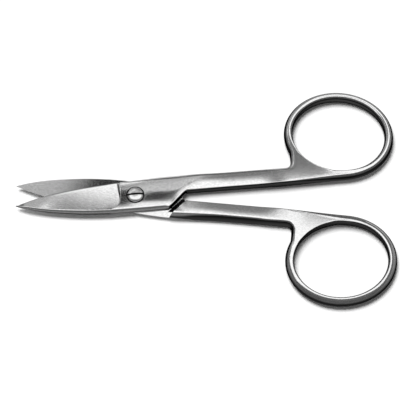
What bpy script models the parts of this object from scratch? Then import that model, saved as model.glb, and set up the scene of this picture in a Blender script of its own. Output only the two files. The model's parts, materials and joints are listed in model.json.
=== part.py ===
"""Nail scissors, 90 mm: two crossed steel halves that turn on one slotted pivot screw.

Each half is one forging: a ground blade, a half-thick joint plate, a full-thick shank with a
shoulder, and an oval finger ring. Both halves are the same shape, one turned over on the other.

A half is drawn in its own closed frame: the pivot axis is X = Y = 0, the blade points to -X, the
ring lies at +X on the +Y side, and Z = 0 is the plane where the two joint plates meet.
"""

import math

import bmesh
import bpy
import numpy as np

for old in list(bpy.data.objects):
    bpy.data.objects.remove(old, do_unlink=True)

MM = 0.001

# Overall layout, measured from the pivot axis
BLADE_REACH = 28.2 * MM
RING_CENTRE_X = 49.25 * MM
RING_INNER_SIDE = 0.14 * MM
OPEN_HALF_ANGLE = math.radians(5.15)

# Thickness: the shank and ring are full stock, and each joint plate is on one side of the middle
STOCK_THICKNESS = 2.8 * MM
JOINT_THICKNESS = 2.5 * MM
JOINT_CROWN = 0.16 * MM
MATING_GAP = 0.06 * MM

# Blade
SPINE_SIDE_WIDTH = 4.12 * MM
EDGE_SIDE_WIDTH = 4.0 * MM
SPINE_THICKNESS = 1.22 * MM
EDGE_THICKNESS = 0.14 * MM
TIP_WIDTH = 0.3 * MM
RICASSO_REACH = 3.9 * MM
RICASSO_STEP = 0.3 * MM
RICASSO_CORNER = 1.1 * MM
SPINE_DRAFT = 0.64 * MM

# Joint plate and shoulder
CROTCH_REACH = 11.9 * MM
PLATE_CORNER_REACH = 7.1 * MM
PLATE_CORNER_SIDE = 3.75 * MM
PLATE_END_ROUND = 0.25 * MM
PLATE_BLEND_REACH = 16.25 * MM
CROTCH_ROUND = 1.1 * MM
SHOULDER_GAP = 0.3 * MM
SHOULDER_OUTER_REACH = 8.45 * MM

# Shank
SHANK_OUTER_AT_SHOULDER = 4.52 * MM
SHANK_OUTER_AT_RING = 4.14 * MM
SHANK_INNER_SIDE = 0.06 * MM
SHANK_INNER_ROUND = 0.4 * MM
SHANK_OUTER_ROUND = 1.5 * MM
JOINT_OUTER_ROUND = 0.75 * MM
WEB_START_REACH = 32.5 * MM
NOTCH_ROUND = 1.4 * MM

# Finger ring: an oval hole with a bar of even width round it
RING_HOLE_LENGTH = 21.9 * MM
RING_HOLE_WIDTH = 18.7 * MM
RING_BAR = 2.1 * MM
RING_TILT = math.radians(-11.0)
RING_CREST_SHARE = 0.6
NOTCH_END_SHARE = 0.22

# Pivot screw
SCREW_SHANK_RADIUS = 1.4 * MM
SCREW_HEAD_RADIUS = 2.1 * MM
SCREW_HEAD_DEPTH = 0.45 * MM
SCREW_HEAD_RISE = 0.62 * MM
SCREW_RIM_ROUND = 0.1 * MM
SLOT_WIDTH = 0.36 * MM
SLOT_DEPTH = 0.42 * MM
SLOT_ANGLE = math.radians(4.4)
RUNNING_CLEARANCE = 0.05 * MM
TAIL_RECESS = 0.03 * MM

# How full a rounded edge is: 1 is a straight bevel, 2 a quarter of an oval, more is squarer
SPINE_FULLNESS = 1.15
CUT_EDGE_FULLNESS = 2.0
SHANK_INNER_FULLNESS = 2.6
SHANK_OUTER_FULLNESS = 2.2
RING_OUTER_FULLNESS = 2.8
DOME_FULLNESS = 1.4

# The most of a narrow section's width that one rounded edge may take
EDGE_LIMIT_SHARE = 0.33

# Faceting and cutting
CUT_OVERRUN = 2.0 * MM
WELD_DISTANCE = 0.001 * MM
SMOOTH_ANGLE = math.radians(30)
CROSS_CELLS = 12
JOINT_CELLS = 7
PLATE_END_CELLS = 3
SHANK_CELLS = 10
WEB_CELLS = 8
RING_FREE_CELLS = 42
BORE_SIDES = 48
DOME_STEPS = 6
SEARCH_STEPS = 3600

# Where the outlines pass, as shares of the named sizes above
spine_shares = [(1.0, 0.0), (0.985, 0.07), (0.94, 0.215), (0.875, 0.365), (0.81, 0.485), (0.71, 0.635),
                (0.6, 0.76), (0.48, 0.875), (0.35, 0.955), (0.21, 0.995), (0.1, 1.0), (0.0, 1.0)]
edge_shares = [(1.0, 0.0), (0.985, 0.05), (0.935, 0.18), (0.865, 0.33), (0.8, 0.445), (0.7, 0.545),
               (0.6, 0.64), (0.5, 0.735), (0.4, 0.825), (0.3, 0.9), (0.21, 0.955), (0.14, 0.99)]
spine_thickness_shares = [(1.0, 0.3), (0.94, 0.56), (0.87, 0.72), (0.74, 0.83), (0.6, 0.92),
                          (0.46, 1.0), (0.0, 1.0)]
blade_station_shares = [1.0, 0.985, 0.96, 0.93, 0.89, 0.84, 0.78, 0.71, 0.64, 0.57, 0.5, 0.43,
                        0.36, 0.29, 0.22]
web_arc_shares = [0.0, 0.09, 0.18, 0.28, 0.38, 0.48, 0.58, 0.68, 0.77, 0.855, 0.93, 0.978, 1.0]
notch_arc_shares = [0.25, 0.5, 0.75]
rounding_shares = [0.0, 0.07, 0.32, 1.0]
ring_inner_shares = [0.0, 0.05, 0.2, 0.5, 1.0]
ring_outer_shares = [0.4, 0.75, 0.94, 1.0]


def curve_value(shares, x, x_size, y_size):
    """The smooth height at x of a curve through points given as shares of two sizes."""
    points = sorted((a * x_size, b * y_size) for a, b in shares)
    xs = [p[0] for p in points]
    ys = [p[1] for p in points]
    x = min(max(x, xs[0]), xs[-1])
    k = min(max(int(np.searchsorted(xs, x)) - 1, 0), len(xs) - 2)
    slope = [(ys[i + 1] - ys[i]) / (xs[i + 1] - xs[i]) for i in range(len(xs) - 1)]

    def tangent(i):
        if i == 0:
            return slope[0]
        if i == len(xs) - 1:
            return slope[-1]
        return (slope[i - 1] + slope[i]) / 2

    width = xs[k + 1] - xs[k]
    t = (x - xs[k]) / width
    return (
        (2 * t**3 - 3 * t**2 + 1) * ys[k]
        + (t**3 - 2 * t**2 + t) * width * tangent(k)
        + (3 * t**2 - 2 * t**3) * ys[k + 1]
        + (t**3 - t**2) * width * tangent(k + 1)
    )


def ease(value, start, end):
    """0 before start, 1 after end, and smooth between."""
    t = min(max((value - start) / (end - start), 0.0), 1.0)
    return t * t * (3 - 2 * t)


def low_side(x):
    """The -Y edge of the strip: blade spine, plate, plate end, crotch and the shank's inner edge.

    The crotch is a curve that leaves the plate's end CROTCH_ROUND before its corner and meets the
    shank's inner edge at the shoulder, so that nothing crosses the middle line where both are thick.
    """
    if x <= 0:
        return -curve_value(spine_shares, -x, BLADE_REACH, SPINE_SIDE_WIDTH)
    if x <= PLATE_CORNER_REACH:
        drop = ease(x, SCREW_HEAD_RADIUS, PLATE_CORNER_REACH)
        return -SPINE_SIDE_WIDTH + (SPINE_SIDE_WIDTH - PLATE_CORNER_SIDE) * drop
    slope = (PLATE_CORNER_SIDE + SHANK_INNER_SIDE) / (CROTCH_REACH - PLATE_CORNER_REACH)
    if x <= CROTCH_REACH - CROTCH_ROUND:
        return SHANK_INNER_SIDE - slope * (CROTCH_REACH - x)
    left = max(CROTCH_REACH + SHOULDER_GAP - x, 0.0)
    share = left / (SHOULDER_GAP + math.sqrt(SHOULDER_GAP**2 + (CROTCH_ROUND - SHOULDER_GAP) * left))
    return SHANK_INNER_SIDE - slope * CROTCH_ROUND * share**2


def high_side(x):
    """The +Y edge of the strip: cutting edge, joint side and the shank's outer edge."""
    edge_root = BLADE_REACH * edge_shares[-1][0]
    if x <= -edge_root:
        return curve_value(edge_shares, -x, BLADE_REACH, EDGE_SIDE_WIDTH)
    root = EDGE_SIDE_WIDTH * edge_shares[-1][1]
    if x <= CROTCH_REACH:
        return root + (SHANK_OUTER_AT_SHOULDER - root) * ease(x, -edge_root, SHOULDER_OUTER_REACH)
    fall = ease(x, CROTCH_REACH, WEB_START_REACH)
    return SHANK_OUTER_AT_SHOULDER + (SHANK_OUTER_AT_RING - SHANK_OUTER_AT_SHOULDER) * fall


def ring_point(angle, outward):
    """A point of the ring: on the hole's oval at this angle, moved outward square to it."""
    a = RING_HOLE_LENGTH / 2
    b = RING_HOLE_WIDTH / 2
    c, s = math.cos(RING_TILT), math.sin(RING_TILT)
    centre_y = RING_INNER_SIDE + RING_BAR + math.hypot(a * s, b * c)
    normal = np.array([b * math.cos(angle), a * math.sin(angle)])
    normal /= np.linalg.norm(normal)
    x, y = np.array([a * math.cos(angle), b * math.sin(angle)]) + normal * outward
    return np.array([RING_CENTRE_X + c * x - s * y, centre_y + s * x + c * y])


def ring_angle_where(score):
    """The angle on the ring's outer edge with the highest score."""
    angles = np.linspace(0, 2 * math.pi, SEARCH_STEPS, endpoint=False)
    return float(max(angles, key=lambda angle: score(ring_point(angle, RING_BAR))))


def web_angles():
    """The ring angles, low side first, between which the shank joins the ring."""
    lowest = ring_angle_where(lambda p: -p[1])
    leftmost = ring_angle_where(lambda p: -p[0])
    return lowest, leftmost + (lowest - leftmost) * NOTCH_END_SHARE


def rounding(distance, width, power):
    """The share of the full height at this distance in from an edge that is rounded off."""
    t = min(max(distance / width, 0.0), 1.0)
    return (1 - (1 - t) ** power) ** (1 / power)


def strip_stations():
    """Where the cross-sections lie along the blade, joint and shank."""
    stations = [-share * BLADE_REACH for share in blade_station_shares]
    ricasso = -RICASSO_REACH
    stations += [ricasso - RICASSO_STEP, ricasso]
    stations += list(np.linspace(ricasso, PLATE_CORNER_REACH, JOINT_CELLS + 1)[1:-1])
    stations += [PLATE_CORNER_REACH - PLATE_END_ROUND, PLATE_CORNER_REACH]
    round_start = CROTCH_REACH - CROTCH_ROUND
    shoulder = CROTCH_REACH + SHOULDER_GAP
    stations += list(np.linspace(PLATE_CORNER_REACH, round_start, PLATE_END_CELLS + 1)[1:])
    stations += [CROTCH_REACH - CROTCH_ROUND / 2, CROTCH_REACH, shoulder]
    stations += list(np.linspace(shoulder, WEB_START_REACH, SHANK_CELLS + 1)[1:])
    return stations


def ricasso_reach(inset):
    """Where the blade's ground face stops, at this distance in from the spine's top line."""
    short = min(max(RICASSO_CORNER - inset, 0.0), RICASSO_CORNER)
    return RICASSO_REACH + RICASSO_CORNER - math.sqrt(RICASSO_CORNER**2 - short**2)


def low_rounding(x):
    """Width and power of the rounding on the -Y side at x."""
    if x <= PLATE_CORNER_REACH:
        thin = curve_value(spine_thickness_shares, max(-x, 0.0), BLADE_REACH, 1.0)
        return SPINE_DRAFT * thin, SPINE_FULLNESS
    if x <= CROTCH_REACH:
        return PLATE_END_ROUND, CUT_EDGE_FULLNESS
    grow = ease(x, WEB_START_REACH, RING_CENTRE_X)
    ring_round = RING_BAR * (1 - RING_CREST_SHARE)
    return SHANK_INNER_ROUND + (ring_round - SHANK_INNER_ROUND) * grow, SHANK_INNER_FULLNESS


def high_rounding(x):
    """Width and power of the rounding on the +Y side at x."""
    if x <= -RICASSO_REACH:
        return EDGE_THICKNESS, CUT_EDGE_FULLNESS
    grow = ease(x, -RICASSO_REACH, CROTCH_REACH)
    fall = ease(x, WEB_START_REACH, WEB_START_REACH + NOTCH_ROUND + RING_BAR)
    ring_round = RING_BAR * (1 - RING_CREST_SHARE)
    width = JOINT_OUTER_ROUND + (SHANK_OUTER_ROUND - JOINT_OUTER_ROUND) * grow
    return width + (ring_round - width) * fall, SHANK_OUTER_FULLNESS


def strip_row(x):
    """Plan points across the strip at x, closer together on the rounded edges."""
    low, high = low_side(x), high_side(x)
    if high - low < TIP_WIDTH:
        middle = (low + high) / 2
        low, high = middle - TIP_WIDTH / 2, middle + TIP_WIDTH / 2
    width = high - low
    low_round = min(low_rounding(x)[0], width * EDGE_LIMIT_SHARE)
    high_round = min(high_rounding(x)[0], width * EDGE_LIMIT_SHARE)
    offsets = [share * low_round for share in rounding_shares]
    middle_cells = CROSS_CELLS - 2 * (len(rounding_shares) - 1)
    offsets += list(np.linspace(low_round, width - high_round, middle_cells + 1)[1:-1])
    offsets += [width - share * high_round for share in reversed(rounding_shares)]
    row = [np.array([x, low + offset]) for offset in offsets]
    if -RICASSO_REACH - RICASSO_STEP <= x <= -RICASSO_REACH:
        for point, offset in zip(row, offsets):
            point[0] += RICASSO_REACH - ricasso_reach(offset - low_round)
    return row


def notch_curve(start, end):
    """The outer edge from the shank round the notch and up to the ring, as points."""
    corner = np.array([end[0], start[1]])
    first = corner - np.array([NOTCH_ROUND, 0.0])
    last = corner + np.array([0.0, NOTCH_ROUND])
    points = [start, (start + first) / 2, first]
    for step in notch_arc_shares:
        points.append((1 - step) ** 2 * first + 2 * step * (1 - step) * corner + step**2 * last)
    points += [last, (last + end) / 2, end]
    return points


def along(points, share):
    """The point at this share of the length of a line of points."""
    steps = [float(np.linalg.norm(b - a)) for a, b in zip(points, points[1:])]
    left = share * sum(steps)
    for a, b, step in zip(points, points[1:], steps):
        if left <= step:
            return a + (b - a) * (left / step)
        left -= step
    return points[-1]


def web_rows(first_row, arc):
    """Rows that turn from the shank's last row to the arc of the ring where the shank joins it."""
    notch = notch_curve(first_row[-1], arc[-1])
    rows = []
    for k in range(1, WEB_CELLS):
        v = k / WEB_CELLS
        straight = [(1 - v) * a + v * b for a, b in zip(first_row, arc)]
        bend = along(notch, v) - straight[-1]
        rows.append([point + bend * ease(u, 0, 1) for point, u in zip(straight, web_arc_shares)])
    return rows


class Plan:
    """The half's plan: a grid of points, its cells, and the lines of points that bound it."""

    def __init__(self):
        self.points = []
        self.cells = []
        self.hole, self.low, self.high, self.tip, self.rim = [], [], [], [], []

    def add(self, point):
        self.points.append(point)
        return len(self.points) - 1


def draw_plan():
    """The strip from the blade's tip to the web, joined to the ring round its hole."""
    plan = Plan()
    low_angle, high_angle = web_angles()
    arc_angles = [low_angle + (high_angle - low_angle) * share for share in web_arc_shares]
    free = np.linspace(high_angle, low_angle - 2 * math.pi, RING_FREE_CELLS + 1)[1:-1]
    angles = arc_angles + [float(angle) for angle in free]
    crest = RING_BAR * RING_CREST_SHARE
    outwards = [share * crest for share in ring_inner_shares]
    outwards += [crest + share * (RING_BAR - crest) for share in ring_outer_shares]
    ring = [[plan.add(ring_point(angle, outward)) for outward in outwards] for angle in angles]
    for a, b in zip(ring, ring[1:] + ring[:1]):
        for j in range(len(outwards) - 1):
            plan.cells.append((a[j], a[j + 1], b[j + 1], b[j]))
    arc = [ring[i][-1] for i in range(len(arc_angles))]
    rows = [strip_row(x) for x in strip_stations()]
    rows += web_rows(rows[-1], [plan.points[i] for i in arc])
    strip = [[plan.add(point) for point in row] for row in rows] + [arc]
    for a, b in zip(strip, strip[1:]):
        for j in range(CROSS_CELLS):
            plan.cells.append((a[j], b[j], b[j + 1], a[j + 1]))
    plan.hole = [row[0] for row in ring]
    plan.low = [row[0] for row in strip]
    plan.high = [row[-1] for row in strip]
    plan.tip = strip[0]
    plan.rim = [row[-1] for row in ring[len(arc_angles) - 1:]] + [ring[0][-1]]
    return plan


def nearest(point, lines):
    """Distance to the nearest of several lines of points, and the nearest point and its line."""
    best = (math.inf, None, 0)
    for number, line in enumerate(lines):
        a, b = line[:-1], line[1:]
        step = b - a
        length = np.maximum((step * step).sum(1), np.finfo(float).tiny)
        t = np.clip(((point - a) * step).sum(1) / length, 0, 1)
        foot = a + step * t[:, None]
        gaps = np.linalg.norm(foot - point, axis=1)
        k = int(gaps.argmin())
        if gaps[k] < best[0]:
            best = (float(gaps[k]), foot[k], number)
    return best


def half_height(plan, index, lines, hole):
    """How far the half's face stands above the middle plane at a point of the plan."""
    x, y = plan.points[index]
    low, high = low_side(x), high_side(x)
    across = min(max((y - low) / max(high - low, TIP_WIDTH), 0.0), 1.0)
    joint = 1 - ease(x, PLATE_CORNER_REACH, PLATE_BLEND_REACH)
    level = STOCK_THICKNESS / 2 - joint * (STOCK_THICKNESS - JOINT_THICKNESS) / 2
    level -= joint * JOINT_CROWN * (2 * across - 1) ** 2
    distance, foot, side = nearest(plan.points[index], lines)
    if side == 2:
        width, power = RING_BAR * (1 - RING_CREST_SHARE), RING_OUTER_FULLNESS
    else:
        width, power = (low_rounding, high_rounding)[side](foot[0])
    height = level * rounding(distance, width, power)
    hole_gap = nearest(plan.points[index], [hole])[0]
    height *= rounding(hole_gap, RING_BAR * RING_CREST_SHARE, CUT_EDGE_FULLNESS)
    top_line = low + low_rounding(x)[0]
    if x < -ricasso_reach(y - top_line) - RICASSO_STEP / 2:
        spine = SPINE_THICKNESS * curve_value(spine_thickness_shares, -x, BLADE_REACH, 1.0)
        share = (high - y) / max(high - top_line, TIP_WIDTH)
        ground = EDGE_THICKNESS + (spine - EDGE_THICKNESS) * share
        height = min(height, max(ground, EDGE_THICKNESS))
    return height


def forged_blank(name):
    """A closed solid of the half before its joint is cut: the plan with a crowned face each side."""
    plan = draw_plan()
    low = np.array([plan.points[i] for i in plan.low])
    high = np.array([plan.points[i] for i in plan.high])
    rim = np.array([plan.points[i] for i in plan.rim])
    hole = np.array([plan.points[i] for i in plan.hole + plan.hole[:1]])
    edge = set(plan.hole + plan.low + plan.high + plan.rim + plan.tip)
    mesh = bmesh.new()
    top, bottom = [], []
    for index, (x, y) in enumerate(plan.points):
        if index in edge:
            vert = mesh.verts.new((x, y, 0))
            top.append(vert)
            bottom.append(vert)
            continue
        height = half_height(plan, index, [low, high, rim], hole)
        top.append(mesh.verts.new((x, y, height)))
        bottom.append(mesh.verts.new((x, y, -height)))
    for cell in plan.cells:
        mesh.faces.new([top[i] for i in cell])
        mesh.faces.new([bottom[i] for i in reversed(cell)])
    bmesh.ops.recalc_face_normals(mesh, faces=mesh.faces)
    data = bpy.data.meshes.new(name)
    mesh.to_mesh(data)
    mesh.free()
    return data


def add_object(name, data, group):
    obj = bpy.data.objects.new(name, data)
    group.objects.link(obj)
    return obj


def steel(name, colour, roughness):
    """A bare metal finish."""
    material = bpy.data.materials.new(name)
    material.use_nodes = True
    shader = material.node_tree.nodes["Principled BSDF"]
    shader.inputs["Base Color"].default_value = (*colour, 1)
    shader.inputs["Metallic"].default_value = 1
    shader.inputs["Roughness"].default_value = roughness
    material.diffuse_color = (*colour, 1)
    return material


def prism(name, outline, low, high, group):
    """A cutter: a flat outline raised between two heights."""
    mesh = bmesh.new()
    face = mesh.faces.new([mesh.verts.new((x, y, low)) for x, y in outline])
    raised = bmesh.ops.extrude_face_region(mesh, geom=[face])["geom"]
    verts = [item for item in raised if isinstance(item, bmesh.types.BMVert)]
    bmesh.ops.translate(mesh, verts=verts, vec=(0, 0, high - low))
    bmesh.ops.recalc_face_normals(mesh, faces=mesh.faces)
    data = bpy.data.meshes.new(name)
    mesh.to_mesh(data)
    mesh.free()
    return as_cutter(add_object(name, data, group))


def drill(name, radius, low, high, group):
    """A round cutter on the pivot axis."""
    mesh = bmesh.new()
    bmesh.ops.create_cone(
        mesh, cap_ends=True, segments=BORE_SIDES, radius1=radius, radius2=radius, depth=high - low
    )
    bmesh.ops.translate(mesh, verts=mesh.verts, vec=(0, 0, (low + high) / 2))
    data = bpy.data.meshes.new(name)
    mesh.to_mesh(data)
    mesh.free()
    return as_cutter(add_object(name, data, group))


def as_cutter(obj):
    obj.hide_render = True
    obj.display_type = "WIRE"
    return obj


def cut(obj, cutter):
    modifier = obj.modifiers.new(cutter.name, "BOOLEAN")
    modifier.operation = "DIFFERENCE"
    modifier.solver = "EXACT"
    modifier.object = cutter


def joint_cutter(group, name):
    """What is milled off one side of the joint: all below the mating plane, up to the shoulder."""
    inner = (CROTCH_REACH + SHOULDER_GAP, SHANK_INNER_SIDE)
    outer = (SHOULDER_OUTER_REACH, SHANK_OUTER_AT_SHOULDER)
    past = 1 + CUT_OVERRUN / (outer[1] - inner[1])
    beyond = (inner[0] + (outer[0] - inner[0]) * past, inner[1] + (outer[1] - inner[1]) * past)
    side = SPINE_SIDE_WIDTH + CUT_OVERRUN
    far = -BLADE_REACH - CUT_OVERRUN
    outline = [(inner[0], -side), inner, beyond, (far, beyond[1]), (far, -side)]
    return prism(name, outline, -STOCK_THICKNESS, MATING_GAP / 2, group)


def make_half(name, group, cutters, finish):
    """One half in its closed frame, with its joint milled and its bore drilled."""
    half = add_object(name, forged_blank(name), group)
    half.data.materials.append(finish)
    cut(half, joint_cutter(cutters, name + "_joint_cut"))
    bore = SCREW_SHANK_RADIUS + RUNNING_CLEARANCE
    cut(half, drill(name + "_bore_cut", bore, -STOCK_THICKNESS, STOCK_THICKNESS, cutters))
    return half


def make_screw(group, cutters, finish):
    """The pivot screw: a turned profile with a domed head, and a sawn slot across the dome."""
    face = JOINT_THICKNESS / 2
    seat = face - SCREW_HEAD_DEPTH + RUNNING_CLEARANCE
    rim = face - RUNNING_CLEARANCE
    rise = face + SCREW_HEAD_RISE - rim - SCREW_RIM_ROUND
    profile = []
    for step in range(DOME_STEPS + 1):
        angle = math.pi / 2 * step / DOME_STEPS
        out = (SCREW_HEAD_RADIUS - SCREW_RIM_ROUND) * math.sin(angle)
        profile.append((out, rim + SCREW_RIM_ROUND + rise * math.cos(angle) ** DOME_FULLNESS))
    profile += [
        (SCREW_HEAD_RADIUS, rim),
        (SCREW_HEAD_RADIUS, seat),
        (SCREW_SHANK_RADIUS, seat),
        (SCREW_SHANK_RADIUS, -face + TAIL_RECESS),
        (0, -face + TAIL_RECESS),
    ]
    data = bpy.data.meshes.new("pivot_screw")
    verts = [(x, 0, z) for x, z in profile]
    data.from_pydata(verts, [(i, i + 1) for i in range(len(verts) - 1)], [])
    screw = add_object("pivot_screw", data, group)
    data.materials.append(finish)
    turn = screw.modifiers.new("turned", "SCREW")
    turn.axis = "Z"
    turn.steps = BORE_SIDES
    turn.render_steps = BORE_SIDES
    turn.use_merge_vertices = True
    turn.merge_threshold = WELD_DISTANCE
    turn.use_smooth_shade = True
    half_slot = SLOT_WIDTH / 2
    reach = SCREW_HEAD_RADIUS + CUT_OVERRUN
    c, s = math.cos(SLOT_ANGLE), math.sin(SLOT_ANGLE)
    corners = [(-reach, -half_slot), (reach, -half_slot), (reach, half_slot), (-reach, half_slot)]
    outline = [(c * x - s * y, s * x + c * y) for x, y in corners]
    top = face + SCREW_HEAD_RISE
    cut(screw, prism("slot_cut", outline, top - SLOT_DEPTH, top + CUT_OVERRUN, cutters))
    return screw


def shade(obj):
    """Smooth shading on the crowned faces, with the milled and ground edges kept sharp."""
    obj.data.shade_smooth()
    obj.data.set_sharp_from_angle(angle=SMOOTH_ANGLE)


def reach_along_x(obj):
    """The lowest and highest X of a finished object."""
    evaluated = obj.evaluated_get(bpy.context.evaluated_depsgraph_get())
    xs = [(evaluated.matrix_world @ vert.co).x for vert in evaluated.data.vertices]
    return min(xs), max(xs)


def main():
    scissors = bpy.data.collections.new("nail_scissors")
    cutters = bpy.data.collections.new("cutters")
    bpy.context.scene.collection.children.link(scissors)
    bpy.context.scene.collection.children.link(cutters)
    satin = steel("satin_stainless_steel", (0.62, 0.62, 0.62), 0.32)
    polished = steel("polished_stainless_steel", (0.72, 0.72, 0.72), 0.12)

    front = make_half("front_half", scissors, cutters, satin)
    head_room = SCREW_HEAD_RADIUS + RUNNING_CLEARANCE
    seat = JOINT_THICKNESS / 2 - SCREW_HEAD_DEPTH
    cut(front, drill("head_seat_cut", head_room, seat, STOCK_THICKNESS, cutters))
    rear = make_half("rear_half", scissors, cutters, satin)
    screw = make_screw(scissors, cutters, polished)
    shade(front)
    shade(rear)

    pivot = bpy.data.objects.new("pivot", None)
    scissors.objects.link(pivot)
    for obj in list(cutters.objects) + [front, rear, screw]:
        obj.parent = pivot
    front.rotation_euler = (0, 0, OPEN_HALF_ANGLE)
    rear.rotation_euler = (math.pi, 0, -OPEN_HALF_ANGLE)
    for cutter in cutters.objects:
        if cutter.name.startswith("rear_half"):
            cutter.rotation_euler = rear.rotation_euler
        elif cutter.name != "slot_cut":
            cutter.rotation_euler = front.rotation_euler
    bpy.context.view_layer.update()
    low, high = reach_along_x(front)
    pivot.location = (-(low + high) / 2, 0, STOCK_THICKNESS / 2)
    bpy.context.view_layer.update()
    print("pivot axis at X", round(pivot.location.x / MM, 4), "mm")


main()
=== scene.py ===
import json
import math

import bpy
import numpy as np
from mathutils import Matrix, Vector


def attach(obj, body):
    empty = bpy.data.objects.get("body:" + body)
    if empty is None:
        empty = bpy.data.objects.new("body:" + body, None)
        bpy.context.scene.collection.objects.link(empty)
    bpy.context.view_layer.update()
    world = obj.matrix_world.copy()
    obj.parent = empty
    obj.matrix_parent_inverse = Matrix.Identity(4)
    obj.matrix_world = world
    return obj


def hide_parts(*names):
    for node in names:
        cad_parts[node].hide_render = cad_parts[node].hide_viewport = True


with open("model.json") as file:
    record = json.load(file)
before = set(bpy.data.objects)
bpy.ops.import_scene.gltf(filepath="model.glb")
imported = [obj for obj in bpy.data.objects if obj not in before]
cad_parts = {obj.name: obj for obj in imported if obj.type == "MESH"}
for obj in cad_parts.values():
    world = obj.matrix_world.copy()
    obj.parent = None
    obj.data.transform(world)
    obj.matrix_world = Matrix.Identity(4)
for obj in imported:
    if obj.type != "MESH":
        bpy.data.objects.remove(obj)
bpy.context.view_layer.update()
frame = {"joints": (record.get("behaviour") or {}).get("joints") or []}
bpy.ops.object.select_all(action="DESELECT")

# The two halves, first as the forged blank that both start from: blade, joint plate, shank, web and
# finger ring in one piece of stainless steel, hot forged, trimmed and rounded along its sides. It is
# drawn with the pivot at X = Y = 0, the blade to -X, the ring on the +Y side and Z = 0 mid-stock.
MM = 0.001

# Stock and blade. A power tells how full a rounding is: 1 is a straight chamfer, and 2 a quarter oval
STOCK_THICKNESS = 2.8 * MM
BLADE_REACH = 28.19 * MM
SPINE_SIDE_WIDTH = 4.07 * MM
EDGE_SIDE_WIDTH = 4.0 * MM
SPINE_THICKNESS = 1.1 * MM
EDGE_THICKNESS = 0.15 * MM
EDGE_BEVEL = 0.22 * MM
EDGE_BEVEL_POWER = 1.1
TIP_WIDTH = 0.3 * MM
SPINE_DRAFT = 0.9 * MM
SPINE_DRAFT_POWER = 1.7
SPINE_CHAMFER = 0.2 * MM
SPINE_CHAMFER_SLOPE = 0.9
CHAMFER_LIMIT_SHARE = 0.125
LAP_CLEARANCE = 0.03 * MM

# Ricasso, the wall where the ground face ends; its slopes are those at the edge and at the spine
RICASSO_REACH = 3.5 * MM
RICASSO_SLOPES = (math.radians(57), math.radians(78))
RICASSO_TURN_SHARES = (0.15, 0.6)
RICASSO_FOOT = 0.07 * MM
RICASSO_CORNER = 2.5 * MM
RICASSO_FADE = 4.2 * MM

# Joint plate and shoulder
JOINT_THICKNESS = 2.5 * MM
JOINT_CROWN = 0.3 * MM
JOINT_OUTER_ROUND = 0.75 * MM
PLATE_TAPER_START = 2.1 * MM
PLATE_CORNER_REACH = 7.6 * MM
PLATE_CORNER_SIDE = 4.0 * MM
PLATE_END_ROUND = 0.55 * MM
PLATE_END_POWER = 3.2
PLATE_BLEND_REACH = 16.25 * MM
CORNER_BLEND = 0.9 * MM
CROTCH_REACH = 11.9 * MM
CROTCH_ROUND = 1.1 * MM
SHOULDER_GAP = 0.3 * MM
SHOULDER_OUTER_REACH = 8.45 * MM

# Shank; pairs are for the upper and the lower face
SHANK_CROWN = 0.12 * MM
SHANK_TAPER = 0.17 * MM
SHANK_LEAN = 0.7 * MM
SHANK_OUTER_AT_SHOULDER = 4.52 * MM
SHANK_OUTER_AT_RING = 4.14 * MM
SHANK_EVEN_REACH = 22.0 * MM
SHANK_INNER_SIDE = 0.06 * MM
SHANK_INNER_ROUND = 0.4 * MM
SHANK_INNER_POWER = 2.6
SHANK_OUTER_ROUNDS = (1.5 * MM, 0.9 * MM)
SHANK_OUTER_POWERS = (2.2, 1.3)
SIDE_LIMIT_SHARE = 0.33

# Web and ring. Where the steel is wider than these shares of the ring's bar, ring turns into web, and
# the crest lies at a share of the bar for the upper and one for the lower face
WEB_START_REACH = 32.5 * MM
WEB_WIDTH_SHARES = (1.02, 1.3)
WEB_BLEND = 8.0 * MM
NOTCH_ROUND = 1.4 * MM
NOTCH_SIDE_ROUND = 0.85 * MM
NOTCH_END_SHARE = 0.22
RING_CENTRE_X = 49.25 * MM
RING_INNER_SIDE = 0.14 * MM
RING_HOLE_LENGTH = 21.9 * MM
RING_HOLE_WIDTH = 18.7 * MM
RING_BAR = 2.1 * MM
RING_TILT = math.radians(-11)
RING_CREST_SHARES = (0.54, 0.32)
RING_RIM_POWER = 1.5
RING_HOLE_POWER = 2.5
HOLE_EDGE_ROUND = 0.09 * MM

# Outlines of the blade from the pivot to the tip, as shares of its reach and of its width or thickness
SPINE_SHARES = [
    (0.0, 1.0), (0.1, 1.0), (0.21, 0.995), (0.35, 0.955), (0.48, 0.875), (0.6, 0.76),
    (0.71, 0.635), (0.81, 0.485), (0.875, 0.365), (0.94, 0.215), (0.985, 0.07), (1.0, 0.0),
]
EDGE_SHARES = [
    (0.14, 0.99), (0.21, 0.955), (0.3, 0.905), (0.4, 0.845), (0.5, 0.77), (0.6, 0.675),
    (0.7, 0.565), (0.8, 0.415), (0.865, 0.295), (0.935, 0.15), (0.985, 0.035), (1.0, 0.0),
]
THIN_SHARES = [(0.0, 1.0), (0.46, 1.0), (0.6, 0.92), (0.74, 0.83), (0.87, 0.72), (0.94, 0.56), (1.0, 0.3)]

# Lines along the mesh, as shares of the roundings that they lie on, and rows across it
SPINE_LINE_SHARES = [0.0, 0.04, 0.14, 0.36, 0.7, 0.86, 1.0, 1.16]
OUTER_LINE_SHARES = [0.0, 0.05, 0.18, 0.42, 0.72, 1.0]
HOLE_LINE_SHARES = [0.0, 0.04, 0.15, 0.38, 0.7, 1.0]
RIM_LINE_SHARES = [0.34, 0.64, 0.86, 0.96, 1.0]
MIDDLE_LINES = 5
LINE_COUNT = len(SPINE_LINE_SHARES) + MIDDLE_LINES + len(OUTER_LINE_SHARES)
TIP_ROW_SHARES = [1.0, 0.996, 0.988, 0.975, 0.96]
BLADE_ROWS = 22
RICASSO_FOOT_ROWS = (0.45 * MM, 0.2 * MM, 0.07 * MM)
RICASSO_CLIMB_SHARES = (0.0, 0.3, 0.7, 0.93)
RICASSO_TOP_ROWS = (0.08 * MM, 0.22 * MM, 0.5 * MM)
JOINT_ROWS = 12
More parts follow.
